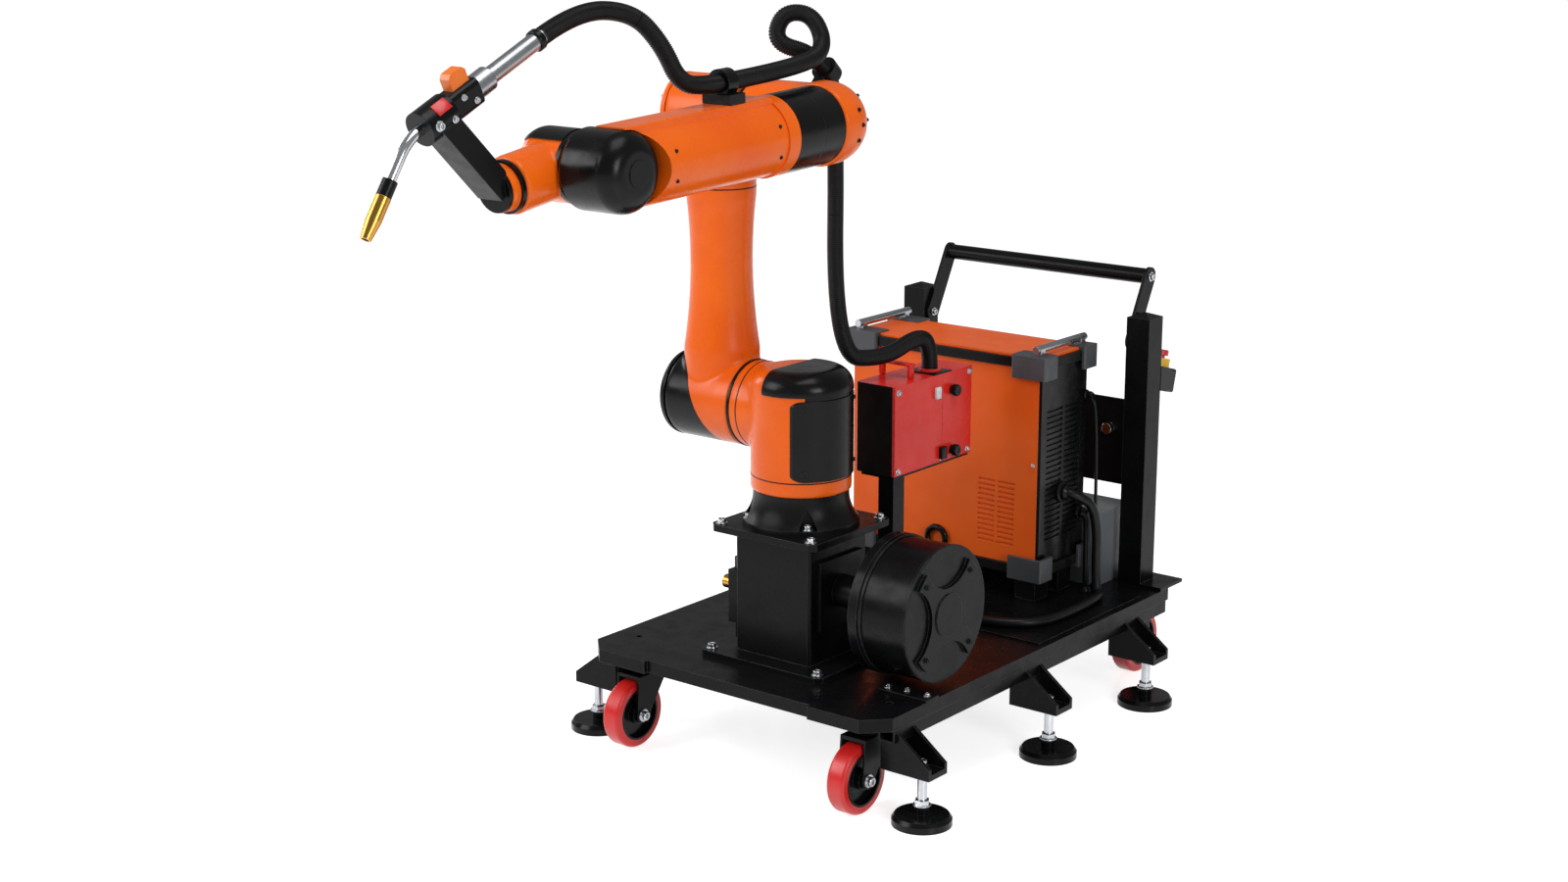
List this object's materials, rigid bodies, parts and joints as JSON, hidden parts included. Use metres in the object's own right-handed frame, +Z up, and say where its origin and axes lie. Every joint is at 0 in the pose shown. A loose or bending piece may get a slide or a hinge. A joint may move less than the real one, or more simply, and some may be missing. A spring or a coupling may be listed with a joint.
{
  "type": "mobile robot welding cell",
  "caption": "Six-axis robot arm with a bent-neck welding torch on a wheeled cart that carries its power source, wire feeder, wire drum and push handle, levelled on screw feet.",
  "frame": {"origin": "on the floor, midway between the torch tip and the push bar, on the cart's centre line", "axes": "+Y runs along the cart from the arm to the push handle, +X to the drum side, +Z up from the floor"},
  "size_m": [1.009, 2.1306, 1.6441],
  "materials": {
    "black_gloss": "gloss black powder coat",
    "black_satin": "satin black paint",
    "orange": "semi-gloss orange paint",
    "machine_orange": "fine-textured orange powder coat",
    "red": "gloss red paint",
    "steel": "machined steel",
    "foot": "black pad with a steel stud",
    "tyre_red": "red tread on a black hub",
    "rubber_hose": "black braided sleeve",
    "bumper_grey": "grey corner rubber",
    "chrome_neck": "chromed tube",
    "brass": "turned brass",
    "plastic_black": "moulded black plastic",
    "box_grey": "grey painted sheet",
    "stop_red": "red moulded button",
    "stop_box": "black box with a yellow collar"
  },
  "bodies": {
    "cart": {"deck": "black_gloss", "deck_frame": "black_gloss", "foot_brackets": "black_gloss", "caster_mounts": "black_satin", "pedestal": "black_gloss", "valve_group": "black_satin", "arm_base": "black_satin", "hose_drop": "rubber_hose", "wire_drum": "black_satin", "drum_lid": "plastic_black", "drum_mount": "black_satin", "feeder_case": "red", "feeder_doors": "red", "feeder_post": "black_gloss", "welder_case": "machine_orange", "welder_end_panel": "plastic_black", "welder_rims": "plastic_black", "welder_bumpers": "bumper_grey", "welder_stand": "black_gloss", "welder_cables": "rubber_hose", "controller_box": "box_grey", "rear_panel": "black_satin", "handle_posts": "black_gloss", "handle_bar": "black_gloss", "estop_box": "stop_box"},
    "turret": {"turret": "orange", "turret_covers": "plastic_black"},
    "upper_arm": {"upper_arm": "orange", "upper_arm_caps": "plastic_black"},
    "elbow": {"elbow_housing": "orange", "elbow_drive": "black_satin", "elbow_hose_clamp": "plastic_black", "hose_elbow": "rubber_hose"},
    "forearm": {"forearm_drive": "black_satin", "forearm_tube": "orange", "wrist_housing": "plastic_black", "forearm_hose_clamp": "plastic_black", "hose_torch": "rubber_hose"},
    "wrist": {"wrist_body": "orange", "wrist_cap": "plastic_black"},
    "tool": {"tool_flange": "black_satin", "torch_bracket": "black_satin", "torch_clamp": "plastic_black", "torch_body": "plastic_black", "torch_neck": "chrome_neck", "torch_nozzle": "brass"},
    "rear_fork_left": {"rear_caster_fork_left": "black_satin"},
    "rear_fork_right": {"rear_caster_fork_right": "black_satin"},
    "stop_button": {"estop_button": "stop_red"},
    "foot_front_left": {"foot_front_left": "foot"},
    "foot_front_right": {"foot_front_right": "foot"},
    "foot_mid_left": {"foot_mid_left": "foot"},
    "foot_mid_right": {"foot_mid_right": "foot"},
    "foot_rear_left": {"foot_rear_left": "foot"},
    "foot_rear_right": {"foot_rear_right": "foot"},
    "wheel_front_left": {"wheel_front_left": "tyre_red"},
    "wheel_front_right": {"wheel_front_right": "tyre_red"},
    "wheel_rear_left": {"wheel_rear_left": "tyre_red"},
    "wheel_rear_right": {"wheel_rear_right": "tyre_red"}
  },
  "joints": [
    {"name": "base_turn", "type": "hinge", "parent": "cart", "child": "turret", "pos_m": [0, 0.081, 0.597], "axis": [0, 0, -1], "range_deg": [-150, 60], "deforming": ["hose_drop"]},
    {"name": "shoulder", "type": "hinge", "parent": "turret", "child": "upper_arm", "pos_m": [-0.128, 0.081, 0.762], "axis": [1, 0, 0], "range_deg": [-30, 60], "deforming": ["hose_drop"]},
    {"name": "elbow", "type": "hinge", "parent": "upper_arm", "child": "elbow", "pos_m": [-0.13, 0.081, 1.374], "axis": [-1, 0, 0], "range_deg": [-60, 60], "deforming": ["hose_drop"]},
    {"name": "forearm_roll", "type": "hinge", "parent": "elbow", "child": "forearm", "pos_m": [0.06, -0.02089, 1.36937], "axis": [0, -0.999, -0.0454], "range_deg": [-180, 180], "deforming": ["hose_elbow"]},
    {"name": "wrist_bend", "type": "hinge", "parent": "forearm", "child": "wrist", "pos_m": [-0.01, -0.56234, 1.34479], "axis": [-1, 0, 0], "range_deg": [-120, 120], "deforming": ["hose_torch"]},
    {"name": "tool_turn", "type": "hinge", "parent": "wrist", "child": "tool", "pos_m": [-0.067, -0.70867, 1.32266], "axis": [0, -0.9888, -0.1495], "range_deg": [-180, 180], "deforming": ["hose_torch"]},
    {"name": "front_wheel_left_spin", "type": "hinge", "parent": "cart", "child": "wheel_front_left", "pos_m": [-0.305, -0.127, 0.078], "axis": [1, 0, 0], "continuous": true},
    {"name": "rear_caster_left_swivel", "type": "hinge", "parent": "cart", "child": "rear_fork_left", "pos_m": [-0.305, 0.938, 0.18], "axis": [0, 0, 1], "continuous": true},
    {"name": "rear_wheel_left_spin", "type": "hinge", "parent": "rear_fork_left", "child": "wheel_rear_left", "pos_m": [-0.305, 0.983, 0.078], "axis": [1, 0, 0], "continuous": true},
    {"name": "front_wheel_right_spin", "type": "hinge", "parent": "cart", "child": "wheel_front_right", "pos_m": [0.305, -0.127, 0.078], "axis": [1, 0, 0], "continuous": true},
    {"name": "rear_caster_right_swivel", "type": "hinge", "parent": "cart", "child": "rear_fork_right", "pos_m": [0.305, 0.938, 0.18], "axis": [0, 0, 1], "continuous": true},
    {"name": "rear_wheel_right_spin", "type": "hinge", "parent": "rear_fork_right", "child": "wheel_rear_right", "pos_m": [0.305, 0.983, 0.078], "axis": [1, 0, 0], "continuous": true},
    {"name": "foot_front_left_screw", "type": "slide", "parent": "cart", "child": "foot_front_left", "axis": [0, 0, 1], "range_m": [-0.01, 0.04]},
    {"name": "foot_front_right_screw", "type": "slide", "parent": "cart", "child": "foot_front_right", "axis": [0, 0, 1], "range_m": [-0.01, 0.04]},
    {"name": "foot_mid_left_screw", "type": "slide", "parent": "cart", "child": "foot_mid_left", "axis": [0, 0, 1], "range_m": [-0.01, 0.04]},
    {"name": "foot_mid_right_screw", "type": "slide", "parent": "cart", "child": "foot_mid_right", "axis": [0, 0, 1], "range_m": [-0.01, 0.04]},
    {"name": "foot_rear_left_screw", "type": "slide", "parent": "cart", "child": "foot_rear_left", "axis": [0, 0, 1], "range_m": [-0.01, 0.04]},
    {"name": "foot_rear_right_screw", "type": "slide", "parent": "cart", "child": "foot_rear_right", "axis": [0, 0, 1], "range_m": [-0.01, 0.04]},
    {"name": "stop_press", "type": "slide", "parent": "cart", "child": "stop_button", "axis": [0, -0.2588, -0.9659], "range_m": [0, 0.006], "stiffness_N_per_m": 1500, "springref_m": -0.004}
  ]
}
